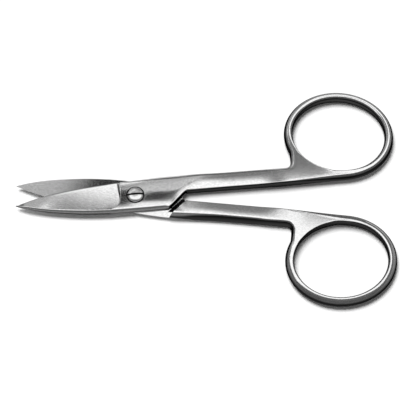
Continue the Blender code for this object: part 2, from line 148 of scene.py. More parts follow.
CORNER_ROW_GAP = 0.2 * MM
PLATE_END_ROWS = 9
SHANK_ROWS = 18
WEB_ROWS = 13
RING_FREE_ROWS = 60
ARC_SPREAD_POWER = 1.15
OVAL_STEPS = 3600
RIM_STEPS = 241
HOLE_STEPS = 361
SHANK_STEPS = 60
NOTCH_STEPS = 17
MERGE_DISTANCE = 0.0005 * MM
SMOOTH_LEVELS = 2


def smooth_value(shares, place):
    """The smooth height at this place of a curve through listed points, both as shares."""
    xs, ys = zip(*shares)
    place = min(max(place, xs[0]), xs[-1])
    k = min(max(int(np.searchsorted(xs, place)) - 1, 0), len(xs) - 2)
    slopes = np.diff(ys) / np.diff(xs)
    tangents = [slopes[0], *((slopes[:-1] + slopes[1:]) / 2), slopes[-1]]
    width = xs[k + 1] - xs[k]
    t = (place - xs[k]) / width
    return (
        (2 * t**3 - 3 * t**2 + 1) * ys[k]
        + (t**3 - 2 * t**2 + t) * width * tangents[k]
        + (3 * t**2 - 2 * t**3) * ys[k + 1]
        + (t**3 - t**2) * width * tangents[k + 1]
    )


def ease(value, start, end):
    """0 before start, 1 after end, and smooth between."""
    t = min(max((value - start) / (end - start), 0.0), 1.0)
    return t * t * (3 - 2 * t)


def between(low, high, share):
    """The value at this share of the way from low to high."""
    return low + (high - low) * share


def low_side(x):
    """The -Y outline: the blade's spine, the joint, its slanting end, the crotch and the shank."""
    if x <= 0:
        return -SPINE_SIDE_WIDTH * smooth_value(SPINE_SHARES, -x / BLADE_REACH)
    if x <= PLATE_CORNER_REACH:
        return -between(SPINE_SIDE_WIDTH, PLATE_CORNER_SIDE, ease(x, PLATE_TAPER_START, PLATE_CORNER_REACH))
    slope = (PLATE_CORNER_SIDE + SHANK_INNER_SIDE) / (CROTCH_REACH - PLATE_CORNER_REACH)
    if x <= CROTCH_REACH - CROTCH_ROUND:
        return SHANK_INNER_SIDE - slope * (CROTCH_REACH - x)
    left = max(CROTCH_REACH + SHOULDER_GAP - x, 0.0)
    share = left / (SHOULDER_GAP + math.sqrt(SHOULDER_GAP**2 + (CROTCH_ROUND - SHOULDER_GAP) * left))
    return SHANK_INNER_SIDE - slope * CROTCH_ROUND * share**2


def high_side(x):
    """The +Y outline: the cutting edge, the joint's side and the shank's outer side."""
    place, height = EDGE_SHARES[0]
    if x <= -place * BLADE_REACH:
        return EDGE_SIDE_WIDTH * smooth_value(EDGE_SHARES, -x / BLADE_REACH)
    root = EDGE_SIDE_WIDTH * height
    if x <= SHOULDER_OUTER_REACH:
        return between(root, SHANK_OUTER_AT_SHOULDER, ease(x, -place * BLADE_REACH, SHOULDER_OUTER_REACH))
    even = ease(x, SHOULDER_OUTER_REACH, SHANK_EVEN_REACH)
    return between(SHANK_OUTER_AT_SHOULDER, SHANK_OUTER_AT_RING, even)


def ring_point(angle, outward):
    """A point of the ring: on the hole's oval at this angle, moved outward square to it."""
    a, b = RING_HOLE_LENGTH / 2, RING_HOLE_WIDTH / 2
    c, s = math.cos(RING_TILT), math.sin(RING_TILT)
    centre_y = RING_INNER_SIDE + RING_BAR + math.hypot(a * s, b * c)
    normal = Vector((b * math.cos(angle), a * math.sin(angle))).normalized()
    x = a * math.cos(angle) + normal.x * outward
    y = b * math.sin(angle) + normal.y * outward
    return Vector((RING_CENTRE_X + c * x - s * y, centre_y + s * x + c * y))


def rounding(distance, width, power):
    """The share of the full height at this distance in from a rounded side."""
    t = min(max(distance / width, 0.0), 1.0)
    return (1 - (1 - t) ** power) ** (1 / power)


def low_round(x, under):
    """Width and fullness of the rounding along the -Y side, on the upper face (0) or the lower (1)."""
    corner = ease(x, PLATE_CORNER_REACH - CORNER_BLEND, PLATE_CORNER_REACH + CORNER_BLEND)
    inner = ease(x, CROTCH_REACH - CORNER_BLEND, CROTCH_REACH + CORNER_BLEND)
    ring = ease(x, WEB_START_REACH, RING_CENTRE_X)
    thin = smooth_value(THIN_SHARES, max(-x, 0) / BLADE_REACH)
    width = between(SPINE_DRAFT * thin, PLATE_END_ROUND, corner)
    width = between(width, SHANK_INNER_ROUND, inner)
    width = between(width, RING_BAR * (1 - RING_CREST_SHARES[under]), ring)
    power = between(SPINE_DRAFT_POWER, PLATE_END_POWER, corner)
    power = between(power, SHANK_INNER_POWER, inner)
    return width, between(power, RING_RIM_POWER, ring)


def high_round(x, under):
    """Width and fullness of the rounding along the +Y side, on the upper face (0) or the lower (1)."""
    grow = ease(x, -RICASSO_REACH, CROTCH_REACH)
    fall = ease(x, WEB_START_REACH - 2 * RING_BAR, WEB_START_REACH + NOTCH_ROUND)
    width = between(JOINT_OUTER_ROUND, SHANK_OUTER_ROUNDS[under], grow)
    power = between(SHANK_OUTER_POWERS[0], SHANK_OUTER_POWERS[under], grow * (1 - fall))
    return between(width, NOTCH_SIDE_ROUND, fall), between(power, RING_RIM_POWER, fall)


def crown_height(x, y, across, under):
    """The height of the face over the middle of the stock, before its sides are rounded."""
    fade = (0, PLATE_CORNER_REACH) if under else (PLATE_CORNER_REACH, PLATE_BLEND_REACH)
    joint = 1 - ease(x, *fade)
    shank = (1 - joint) * (1 - ease(x, WEB_START_REACH - SHANK_OUTER_AT_RING, WEB_START_REACH + RING_BAR))
    level = STOCK_THICKNESS / 2 - joint * (STOCK_THICKNESS - JOINT_THICKNESS) / 2
    spread = 2 * (y + SPINE_SIDE_WIDTH) / (SPINE_SIDE_WIDTH + EDGE_SIDE_WIDTH) - 1
    level -= shank * (SHANK_CROWN * (2 * across - 1) ** 2 + SHANK_TAPER * (1 - across))
    return level - joint * JOINT_CROWN * spread**2


def ricasso_shift(offset, x):
    """How far a row near the blade's root bends toward the tip, round the corner of the ground face."""
    short = min(max(RICASSO_CORNER - offset, 0.0), RICASSO_CORNER)
    shift = RICASSO_CORNER - math.sqrt(RICASSO_CORNER**2 - short**2)
    return shift * (1 - ease(abs(x + RICASSO_REACH), 0, RICASSO_FADE))


def strip_row(station, under):
    """One row of points across the blade, joint or shank, each with its height.

    The station is its X and its climb up the ricasso: 0 on the ground blade and 1 on the joint.
    """
    x, climb = station
    low, high = low_side(x), high_side(x)
    if high - low < TIP_WIDTH:
        low, high = (low + high - TIP_WIDTH) / 2, (low + high + TIP_WIDTH) / 2
    width = high - low
    low_width, low_power = low_round(x, under)
    high_width, high_power = (EDGE_BEVEL, EDGE_BEVEL_POWER) if climb < 1 else high_round(x, under)
    if 0 < climb < 1:
        high_width = between(EDGE_BEVEL, high_round(x, under)[0], climb)
    low_width = min(low_width, width * SIDE_LIMIT_SHARE)
    high_width = min(high_width, width * SIDE_LIMIT_SHARE)
    chamfer = min(SPINE_CHAMFER * SPINE_CHAMFER_SLOPE + LAP_CLEARANCE, width * CHAMFER_LIMIT_SHARE)
    chamfer *= 1 - ease(x, PLATE_CORNER_REACH - CORNER_BLEND, PLATE_CORNER_REACH)
    ridge = SPINE_THICKNESS * smooth_value(THIN_SHARES, max(-x, 0) / BLADE_REACH)
    offsets = [share * low_width for share in SPINE_LINE_SHARES]
    offsets += list(np.linspace(offsets[-1], width - high_width, MIDDLE_LINES + 2)[1:-1])
    offsets += [width - share * high_width for share in reversed(OUTER_LINE_SHARES)]
    row = []
    for offset in offsets:
        spine = rounding(offset, low_width, low_power)
        side = rounding(width - offset, high_width, high_power)
        ground = between(EDGE_THICKNESS, ridge, min((width - offset) / (width - low_width), 1))
        face = crown_height(x, low + offset, offset / width, under)
        slope = between(*RICASSO_SLOPES, ease(1 - offset / width, *RICASSO_TURN_SHARES))
        wall = max(face - ground, 0) / math.tan(slope) + RICASSO_FOOT
        lean = SHANK_LEAN * ease(x, SHOULDER_OUTER_REACH, PLATE_BLEND_REACH) * (offset / width) ** 2
        lean = -lean if under else lean
        height = lean + (between(ground, face, climb) - lean) * spine * side
        if under:
            deep = ease(offset, SPINE_CHAMFER, low_width) if chamfer else 1
            height = min(offset, SPINE_CHAMFER) * chamfer / SPINE_CHAMFER - chamfer + height * deep
        else:
            height = max(height, chamfer * (1 - ease(offset, 0, SPINE_CHAMFER)))
        place = x
        if x < 0:
            place -= wall * (1 - climb) * (1 - ease(-RICASSO_REACH - x, 0, RICASSO_FADE))
            place -= ricasso_shift(offset - low_width, x)
        row.append((place, low + offset, height))
    return row


def distance_to(point, line):
    """The distance from a point to a line of points, and the X of the nearest place on it."""
    a, b = line[:-1], line[1:]
    step = b - a
    t = np.clip(((point - a) * step).sum(1) / (step * step).sum(1), 0, 1)
    foot = a + step * t[:, None]
    gaps = np.linalg.norm(foot - point, axis=1)
    k = int(gaps.argmin())
    return gaps[k], foot[k][0]


oval = np.linspace(0, 2 * math.pi, OVAL_STEPS, endpoint=False)
lowest = float(min(oval, key=lambda angle: ring_point(angle, RING_BAR).y))
leftmost = float(min(oval, key=lambda angle: ring_point(angle, RING_BAR).x))
notch_end = between(leftmost, lowest, NOTCH_END_SHARE)
arc_angles = [
    between(lowest, notch_end, 1 - (1 - j / (LINE_COUNT - 1)) ** ARC_SPREAD_POWER) for j in range(LINE_COUNT)
]

blade_rows = [-share * BLADE_REACH for share in TIP_ROW_SHARES]
blade_rows += list(np.linspace(blade_rows[-1], -RICASSO_REACH - RICASSO_FOOT_ROWS[0], BLADE_ROWS)[1:])
blade_rows += [-RICASSO_REACH - gap for gap in RICASSO_FOOT_ROWS[1:]]
joint_rows = [-RICASSO_REACH + gap for gap in RICASSO_TOP_ROWS[:-1]]
joint_start = -RICASSO_REACH + RICASSO_TOP_ROWS[-1]
joint_rows += list(np.linspace(joint_start, PLATE_CORNER_REACH - CORNER_BLEND, JOINT_ROWS))
joint_rows += [PLATE_CORNER_REACH + gap for gap in (-CORNER_ROW_GAP, 0, CORNER_ROW_GAP)]
shank_start = CROTCH_REACH + SHOULDER_GAP
joint_rows += list(np.linspace(PLATE_CORNER_REACH + CORNER_BLEND, shank_start, PLATE_END_ROWS))
joint_rows += list(np.linspace(CROTCH_REACH + 2 * SHOULDER_GAP, WEB_START_REACH, SHANK_ROWS))
stations = [(x, 0.0) for x in blade_rows]
stations += [(-RICASSO_REACH, climb) for climb in RICASSO_CLIMB_SHARES]
stations += [(x, 1.0) for x in joint_rows]

arc = [ring_point(angle, RING_BAR) for angle in arc_angles]
notch_start = Vector((WEB_START_REACH, high_side(WEB_START_REACH)))
notch_corner = Vector((arc[-1].x, notch_start.y))
bend_start = notch_corner - Vector((NOTCH_ROUND, 0))
bend_end = notch_corner + Vector((0, NOTCH_ROUND))
notch = [notch_start, (notch_start + bend_start) / 2, bend_start]
for t in np.linspace(0, 1, NOTCH_STEPS)[1:-1]:
    notch.append((1 - t) ** 2 * bend_start + 2 * t * (1 - t) * notch_corner + t**2 * bend_end)
notch += [bend_end, (bend_end + arc[-1]) / 2, arc[-1]]
notch = np.array([point[:] for point in notch])
rim_angles = np.linspace(notch_end, lowest - 2 * math.pi, RIM_STEPS)
rim_line = np.array([ring_point(angle, RING_BAR)[:] for angle in rim_angles])
hole_line = np.array([ring_point(angle, 0)[:] for angle in np.linspace(0, 2 * math.pi, HOLE_STEPS)])
shank_reach = np.linspace(CROTCH_REACH, WEB_START_REACH, SHANK_STEPS)
low_line = np.array([(x, low_side(x)) for x in shank_reach] + [arc[0][:]])
high_line = np.array([(x, high_side(x)) for x in shank_reach] + list(notch[1:]))


def ring_height(point, under):
    """The height of the web's or ring's upper face (0) or lower face (1) at a point of the plan."""
    point = np.array(point[:2])
    low, low_foot = distance_to(point, low_line)
    high, high_foot = distance_to(point, high_line)
    rim = distance_to(point, rim_line)[0]
    hole = distance_to(point, hole_line)[0]
    crest = RING_BAR * RING_CREST_SHARES[under]
    web = ease(hole + min(low, high, rim), *[RING_BAR * share for share in WEB_WIDTH_SHARES])
    reach = min(math.dist(point, arc[0]), math.dist(point, arc[-1]))
    web = max(web, 1 - ease(reach, 0, WEB_BLEND))
    height = STOCK_THICKNESS / 2 * rounding(hole, between(crest, HOLE_EDGE_ROUND, web), RING_HOLE_POWER)
    if rim <= min(low, high):
        clear = ease(math.dist(point, arc[-1]), 0, WEB_BLEND)
        return height * rounding(rim, between(NOTCH_SIDE_ROUND, RING_BAR - crest, clear), RING_RIM_POWER)
    if low <= high:
        width, power = low_round(low_foot, under)
        return height * rounding(low, width, power)
    width, power = high_round(high_foot, under)
    fade = 1 - ease(point[1], notch_start.y, arc[-1].y)
    lean = SHANK_LEAN * fade * max(1 - high / (high + low), 0) ** 2
    lean = -lean if under else lean
    return lean + (height - lean) * rounding(high, width, power)


def along(line, share):
    """The point at this share of the length of a line of points."""
    lengths = np.concatenate([[0], np.cumsum(np.linalg.norm(np.diff(line, axis=0), axis=1))])
    return np.array([np.interp(share * lengths[-1], lengths, line[:, k]) for k in range(2)])


def sheet_through(rows, sign):
    """A grid primitive with each of its crossings moved to its place on the half's face."""
    bpy.ops.mesh.primitive_grid_add(x_subdivisions=len(rows[0]) - 1, y_subdivisions=len(rows) - 1)
    sheet = bpy.context.object
    for vert, point in zip(sheet.data.vertices, [point for row in rows for point in row]):
        vert.co = (point[0], point[1], sign * point[2])
    return sheet


# Two sheets for each face, sewn into one closed skin: a strip from the tip through the web, and the ring
sheets = []
for under, sign in enumerate((1, -1)):
    strip = [strip_row(station, under) for station in stations]
    strip[0] = [(*point[:2], 0.0) for point in strip[0]]
    root = strip[-1]
    for k in range(1, WEB_ROWS + 1):
        v = k / WEB_ROWS
        points = [(1 - v) * np.array(a[:2]) + v * np.array(b[:]) for a, b in zip(root, arc)]
        bend = along(notch, v) - points[-1]
        row = []
        for j, point in enumerate(points):
            point = point + bend * ease(j / (LINE_COUNT - 1), 0, 1)
            on_face = 0 < j and (k < WEB_ROWS or j < LINE_COUNT - 1)
            row.append((*point, ring_height(point, under) if on_face else 0))
        strip.append(row)
    crest = RING_BAR * RING_CREST_SHARES[under]
    outwards = [share * crest for share in HOLE_LINE_SHARES]
    outwards += [between(crest, RING_BAR, share) for share in RIM_LINE_SHARES]
    ring = []
    for angle in arc_angles + list(np.linspace(notch_end, lowest - 2 * math.pi, RING_FREE_ROWS + 1)[1:]):
        points = [ring_point(angle, outward) for outward in outwards]
        ring.append([(*point, ring_height(point, under) if 0 < j else 0) for j, point in enumerate(points)])
    for row in ring[LINE_COUNT - 1:] + ring[:1]:
        row[-1] = (*row[-1][:2], 0)
    sheets += [sheet_through(strip, sign), sheet_through(ring, sign)]

for sheet in sheets:
    sheet.select_set(True)
blank = sheets[0]
bpy.context.view_layer.objects.active = blank
bpy.ops.object.join()
blank.name = "front_scissor_half"
bpy.ops.object.mode_set(mode="EDIT")
bpy.ops.mesh.select_all(action="SELECT")
bpy.ops.mesh.remove_doubles(threshold=MERGE_DISTANCE)
bpy.ops.mesh.normals_make_consistent(inside=False)
bpy.ops.object.mode_set(mode="OBJECT")
smooth = blank.modifiers.new("forged_surface", "SUBSURF")
smooth.levels = SMOOTH_LEVELS
smooth.render_levels = SMOOTH_LEVELS
bpy.ops.object.modifier_apply(modifier=smooth.name)

# The blank is milled flat over its blade and joint, up to a slanting shoulder, so that the two halves
# lie on each other, and is bored for the screw. It is relieved along the joint's +Y side and undercut
# before the shoulder. The undercut's floor and the joint plate's end get painted shade, nearly black.
CUT_OVERRUN = 2.0 * MM
UNDERCUT_WIDTH = 1.7 * MM
UNDERCUT_DEPTH = 0.07 * MM
RELIEF_START = 2.3 * MM
RELIEF_ANGLE = math.radians(5)
LEVEL_TOLERANCE = 0.002 * MM
FLOOR_FACING = 0.9
END_WALL_FACING = 0.82
SCREW_SHANK_RADIUS = 1.4 * MM
RUNNING_CLEARANCE = 0.05 * MM
BORE_STEPS = 96


def cut_away(piece, cutter):
    """Takes the cutter's space out of the piece, and the cutter with it."""
    bpy.ops.object.select_all(action="DESELECT")
    bpy.context.view_layer.objects.active = piece
    boolean = piece.modifiers.new("cut", "BOOLEAN")
    boolean.operation = "DIFFERENCE"
    boolean.solver = "EXACT"
    boolean.object = cutter
    bpy.ops.object.modifier_apply(modifier=boolean.name)
    bpy.data.objects.remove(cutter)


shoulder_low = Vector((shank_start, SHANK_INNER_SIDE))
shoulder_high = Vector((SHOULDER_OUTER_REACH, SHANK_OUTER_AT_SHOULDER))


def shoulder_at(y):
    """The X of the slanting shoulder at this Y."""
    run = (shoulder_high.x - shoulder_low.x) / (shoulder_high.y - shoulder_low.y)
    return shoulder_low.x + (y - shoulder_low.y) * run


def mill_away(sides, lefts, levels):
    """Mills the blank's underside up to the shoulder, from an X and up to a Z at each of two Y sides."""
    bpy.ops.object.select_all(action="DESELECT")
    bpy.ops.mesh.primitive_cube_add(size=1)
    cutter = bpy.context.object
    for vert in cutter.data.vertices:
        k = 1 if vert.co.y > 0 else 0
        x = shoulder_at(sides[k]) if vert.co.x > 0 else lefts[k]
        vert.co = (x, sides[k], levels[k] if vert.co.z > 0 else -STOCK_THICKNESS)
    cut_away(blank, cutter)


def drill(radius, low, high):
    """A round cutter on the pivot axis."""
    bpy.ops.object.select_all(action="DESELECT")
    bpy.ops.mesh.primitive_cylinder_add(
        vertices=BORE_STEPS, radius=radius, depth=high - low, location=(0, 0, (low + high) / 2)
    )
    bpy.ops.object.transform_apply(location=True)
    return bpy.context.object


edge_side = SPINE_SIDE_WIDTH + CUT_OVERRUN
past_tip = -BLADE_REACH - CUT_OVERRUN
relief_top = LAP_CLEARANCE + (edge_side - RELIEF_START) * math.tan(RELIEF_ANGLE)
undercut_lefts = [shoulder_at(y) - UNDERCUT_WIDTH for y in (-edge_side, edge_side)]
undercut_level = LAP_CLEARANCE + UNDERCUT_DEPTH
mill_away((-edge_side, edge_side), (past_tip, past_tip), (LAP_CLEARANCE, LAP_CLEARANCE))
mill_away((RELIEF_START, edge_side), (-RICASSO_REACH, -RICASSO_REACH), (LAP_CLEARANCE, relief_top))
mill_away((-edge_side, edge_side), undercut_lefts, (undercut_level, undercut_level))
# Marks the faces that get painted shade: the undercut's floor and the plate's slanting end, in the gap
# between the halves.
recess_shade = blank.data.attributes.new("painted_recess_shade", "FLOAT", "FACE")
for facet in blank.data.polygons:
    middle, normal = facet.center, facet.normal
    milled_floor = abs(middle.z - undercut_level) < LEVEL_TOLERANCE and normal.z < -FLOOR_FACING
    end_wall = PLATE_CORNER_REACH < middle.x < shank_start and middle.y < SHANK_INNER_SIDE
    end_wall = end_wall and abs(normal.z) < END_WALL_FACING
    recess_shade.data[facet.index].value = 1.0 if milled_floor or end_wall else 0.0
cut_away(blank, drill(SCREW_SHANK_RADIUS + RUNNING_CLEARANCE, -STOCK_THICKNESS, STOCK_THICKNESS))

# Satin stainless steel: ground, then glass-bead blasted and lightly brushed along the piece, which gives
# a soft sheen with a fine grain. The sides are rougher, and their colour is darkened as painted shade
# that stands in for a dark reflection. The real grain is finer than a pixel, so it is drawn at a size that
# shows.
GRAIN_SIZE = 0.32 * MM
GRAIN_STRETCH = 0.55
GRAIN_DETAIL = 3.0
GRAIN_SPAN = (0.3, 0.7)
GRAIN_DEPTH = 0.02 * MM
GRAIN_STRENGTH = 0.12

# The tones of a face run with the grain, and those of a side, which are painted shade, from an upright wall
# to its rounding. The glancing tones, which paint dark outlines on the sides, and the roughnesses run from
# side to face.
FACE_TONES = ("#cacaca", "#dadada")
SIDE_SHADE_TONES = ("#525252", "#1a1a1a")
# The painted shade of the undercut, the plate's end and the screw's seat.
RECESS_SHADE_TONE = "#161616"
GLANCE_SHADE_TONES = ("#343434", "#ffffff")
ROUGHNESSES = (0.35, 0.13)
FACE_FACING = (0.4, 0.8)
STEEP_FACING = 0.45
HANDLE_SPAN = (-5 * MM, 3 * MM)
HANDLE_FACING = 0.15


def linear(colour):
    """An sRGB hex colour as the linear values that a shader works with."""
    shares = [int(colour[k:k + 2], 16) / 255 for k in (1, 3, 5)]
    return [c / 12.92 if c <= 0.04045 else ((c + 0.055) / 1.055) ** 2.4 for c in shares] + [1]


def add_node(tree, kind, settings, links=None):
    """Adds a shader node, with its own settings, its sockets' values and what is linked to them."""
    node = tree.nodes.new(kind)
    for name, value in settings.items():
        if isinstance(name, int) or name in node.inputs:
            node.inputs[name].default_value = value
        else:
            setattr(node, name, value)
    for name, source in (links or {}).items():
        tree.links.new(source, node.inputs[name])
    return node


def new_material(name):
    """A material with nodes, and its shader."""
    material = bpy.data.materials.new(name)
    material.use_nodes = True
    return material, material.node_tree.nodes["Principled BSDF"]


satin, shader = new_material("satin_stainless_steel")
tree = satin.node_tree
shader.inputs["Metallic"].default_value = 1
position = add_node(tree, "ShaderNodeTexCoord", {}).outputs["Object"]
strokes = add_node(tree, "ShaderNodeMapping", {"Scale": (GRAIN_STRETCH, 1, 1)}, {"Vector": position})
grain = add_node(
    tree, "ShaderNodeTexNoise", {"Scale": 1 / GRAIN_SIZE, "Detail": GRAIN_DETAIL},
    {"Vector": strokes.outputs["Vector"]},
)

# How squarely a place faces up or down decides whether it gets a face's colour or the painted shade of a
# side. On the handle it has to face more squarely to count as a face, which keeps the painted dark sides of
# the shanks and rings wide.
surface = add_node(tree, "ShaderNodeNewGeometry", {})
facing = add_node(tree, "ShaderNodeSeparateXYZ", {}, {"Vector": surface.outputs["Normal"]})
upright = add_node(tree, "ShaderNodeMath", {"operation": "ABSOLUTE"}, {0: facing.outputs["Z"]})
spot = add_node(tree, "ShaderNodeSeparateXYZ", {}, {"Vector": position})
handle = add_node(
    tree, "ShaderNodeMapRange",
    {"From Min": HANDLE_SPAN[0], "From Max": HANDLE_SPAN[1], "To Max": HANDLE_FACING},
    {"Value": spot.outputs["X"]},
)
lying = add_node(
    tree, "ShaderNodeMath", {"operation": "SUBTRACT"}, {0: upright.outputs[0], 1: handle.outputs["Result"]}
)
face_share = add_node(
    tree, "ShaderNodeMapRange",
    {"interpolation_type": "SMOOTHSTEP", "From Min": FACE_FACING[0], "From Max": FACE_FACING[1]},
    {"Value": lying.outputs[0]},
).outputs["Result"]
steep = add_node(tree, "ShaderNodeMapRange", {"From Max": STEEP_FACING}, {"Value": upright.outputs[0]})

# Painted shade: the sides are coloured dark, darkest on their roundings, in place of the dark surroundings
# that they would mirror.
painted_side_shade = add_node(
    tree, "ShaderNodeMix",
    {"data_type": "RGBA", 6: linear(SIDE_SHADE_TONES[0]), 7: linear(SIDE_SHADE_TONES[1])},
    {0: steep.outputs["Result"]},
)
mottle = add_node(
    tree, "ShaderNodeMapRange", {"From Min": GRAIN_SPAN[0], "From Max": GRAIN_SPAN[1]},
    {"Value": grain.outputs[0]},
)
face_tone = add_node(
    tree, "ShaderNodeMix",
    {"data_type": "RGBA", 6: linear(FACE_TONES[0]), 7: linear(FACE_TONES[1])},
    {0: mottle.outputs["Result"]},
)
tone = add_node(
    tree, "ShaderNodeMix", {"data_type": "RGBA"},
    {0: face_share, 6: painted_side_shade.outputs[2], 7: face_tone.outputs[2]},
)
# Painted shade on the marked faces of the undercut, the plate's end and the screw's seat.
recess_shade_share = add_node(tree, "ShaderNodeAttribute", {"attribute_name": "painted_recess_shade"}).outputs["Fac"]
shade = add_node(
    tree, "ShaderNodeMix", {"data_type": "RGBA", 7: linear(RECESS_SHADE_TONE)}, {0: recess_shade_share, 6: tone.outputs[2]}
)
# Painted shade: the sides' specular tint is dark, which darkens their glancing reflection into dark
# outlines.
glance_shade = add_node(
    tree, "ShaderNodeMix",
    {"data_type": "RGBA", 6: linear(GLANCE_SHADE_TONES[0]), 7: linear(GLANCE_SHADE_TONES[1])},
    {0: face_share},
)
duller = add_node(
    tree, "ShaderNodeMapRange", {"To Min": ROUGHNESSES[0], "To Max": ROUGHNESSES[1]},
    {"Value": face_share},
)
bump = add_node(
    tree, "ShaderNodeBump", {"Strength": GRAIN_STRENGTH, "Distance": GRAIN_DEPTH},
    {"Height": grain.outputs[0]},
)
tree.links.new(shade.outputs[2], shader.inputs["Base Color"])
tree.links.new(glance_shade.outputs[2], shader.inputs["Specular Tint"])
tree.links.new(duller.outputs["Result"], shader.inputs["Roughness"])
tree.links.new(bump.outputs["Normal"], shader.inputs["Normal"])

# The front half lies face up and gets the seat that the screw's head is sunk in. The rear half is the
# same forging turned over under it, and both are opened to either side of the pivot.
OPEN_HALF_ANGLE = math.radians(5.15)
SCREW_HEAD_RADIUS = 1.94 * MM
SCREW_HEAD_DEPTH = 0.45 * MM
HEAD_CLEARANCE = 0.17 * MM
SMOOTH_ANGLE = math.radians(30)
MILLED_FACING = 0.99
MILLED_DEPTH = 0.2 * MM

pivot = Vector(frame["joints"][0]["pos_m"])
front = blank
front.data.materials.append(satin)
bpy.ops.object.select_all(action="DESELECT")
front.select_set(True)
bpy.context.view_layer.objects.active = front
rear = front.copy()
rear.data = front.data.copy()
rear.name = "rear_scissor_half"
bpy.context.scene.collection.objects.link(rear)
seat_radius = SCREW_HEAD_RADIUS + HEAD_CLEARANCE
seat_floor = JOINT_THICKNESS / 2 - SCREW_HEAD_DEPTH
cut_away(front, drill(seat_radius, seat_floor, STOCK_THICKNESS))
# The seat round the screw's head gets the same painted shade.
for facet in front.data.polygons:
    inside = facet.center.xy.length < seat_radius + LAP_CLEARANCE
    if inside and facet.center.z > seat_floor - LAP_CLEARANCE:
        front.data.attributes["painted_recess_shade"].data[facet.index].value = 1.0
to_pivot = Matrix.Translation(pivot)
turned_over = Matrix.Rotation(math.pi, 4, "X")
front.data.transform(to_pivot @ Matrix.Rotation(OPEN_HALF_ANGLE, 4, "Z"))
rear.data.transform(to_pivot @ Matrix.Rotation(-OPEN_HALF_ANGLE, 4, "Z") @ turned_over)
for half, body, node in ((front, "front", "front_half"), (rear, "rear", "rear_half")):
    bpy.ops.object.select_all(action="DESELECT")
    half.select_set(True)
    bpy.context.view_layer.objects.active = half
    bpy.ops.object.shade_smooth_by_angle(angle=SMOOTH_ANGLE)
    for facet in half.data.polygons:
        if abs(facet.normal.z) > MILLED_FACING and abs(facet.center.z - pivot.z) < MILLED_DEPTH:
            facet.use_smooth = False
    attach(half, body)
    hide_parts(node)

# The pivot screw: turned from polished stainless steel bar, with a domed head whose slot is sawn
# straight across. Its head is sunk in the front half, and its shank turns in both bores.
SCREW_HEAD_RISE = 0.605 * MM
SCREW_RIM_ROUND = 0.1 * MM
SCREW_RIM_MIDDLE = (0.03 * MM, 0.07 * MM)
SLOT_WIDTH = 0.46 * MM
SLOT_DEPTH = 0.7 * MM
SLOT_ANGLE = math.radians(4.4)
SLOT_TOLERANCE = 0.001 * MM
SAW_LENGTH = 3 * SCREW_HEAD_RADIUS
SAW_HEIGHT = 2 * MM
TAIL_RECESS = 0.03 * MM
DOME_STEPS = 24
TURNED_STEPS = 128

seat = seat_floor + RUNNING_CLEARANCE
rim_level = JOINT_THICKNESS / 2 - RUNNING_CLEARANCE
tail = -JOINT_THICKNESS / 2 + TAIL_RECESS
top = JOINT_THICKNESS / 2 + SCREW_HEAD_RISE
profile = []
for step in range(DOME_STEPS + 1):
    angle = math.pi / 2 * step / DOME_STEPS
    out = (SCREW_HEAD_RADIUS - SCREW_RIM_ROUND) * math.sin(angle)
    rise = top - rim_level - SCREW_RIM_ROUND
    profile.append((out, 0, rim_level + SCREW_RIM_ROUND + rise * math.cos(angle)))
profile.append((SCREW_HEAD_RADIUS - SCREW_RIM_MIDDLE[0], 0, rim_level + SCREW_RIM_MIDDLE[1]))
profile += [(SCREW_HEAD_RADIUS, 0, rim_level), (SCREW_HEAD_RADIUS, 0, seat)]
profile += [(SCREW_SHANK_RADIUS, 0, seat), (SCREW_SHANK_RADIUS, 0, tail), (0, 0, tail)]
bpy.ops.object.select_all(action="DESELECT")
bpy.ops.mesh.primitive_plane_add(size=1)
screw = bpy.context.object
screw.name = "turned_pivot_screw"
bpy.ops.object.mode_set(mode="EDIT")
bpy.ops.mesh.delete(type="VERT")
bpy.ops.object.mode_set(mode="OBJECT")
screw.data.from_pydata(profile, [(k, k + 1) for k in range(len(profile) - 1)], [])
bpy.ops.object.mode_set(mode="EDIT")
bpy.ops.mesh.select_all(action="SELECT")
bpy.ops.mesh.spin(steps=TURNED_STEPS, angle=2 * math.pi, center=(0, 0, 0), axis=(0, 0, 1))
bpy.ops.mesh.select_all(action="SELECT")
bpy.ops.mesh.remove_doubles(threshold=MERGE_DISTANCE)
bpy.ops.mesh.normals_make_consistent(inside=False)
bpy.ops.object.mode_set(mode="OBJECT")
bpy.ops.object.select_all(action="DESELECT")
bpy.ops.mesh.primitive_cube_add(size=1, location=(0, 0, top - SLOT_DEPTH + SAW_HEIGHT / 2))
saw = bpy.context.object
saw.scale = (SAW_LENGTH, SLOT_WIDTH, SAW_HEIGHT)
saw.rotation_euler = (0, 0, SLOT_ANGLE)
bpy.ops.object.transform_apply(location=True, rotation=True, scale=True)
cut_away(screw, saw)
screw.data.transform(to_pivot)

# Polished stainless steel, turned and buffed: a bright dome that mirrors its surroundings softly.
POLISHED_TONE = "#d8d8d8"
POLISHED_ROUGHNESS = 0.26
polished, shader = new_material("polished_stainless_steel")
shader.inputs["Metallic"].default_value = 1
shader.inputs["Base Color"].default_value = linear(POLISHED_TONE)
shader.inputs["Roughness"].default_value = POLISHED_ROUGHNESS
screw.data.materials.append(polished)

# Painted shade in the slot and round the head's rim and side, where it sits in its seat: dull and nearly
# black.
SLOT_SHADE_TONE = "#141414"
SLOT_SHADE_ROUGHNESS = 0.7
slot_shade, shader = new_material("slot_and_rim_painted_shade")
shader.inputs["Base Color"].default_value = linear(SLOT_SHADE_TONE)
shader.inputs["Roughness"].default_value = SLOT_SHADE_ROUGHNESS
screw.data.materials.append(slot_shade)
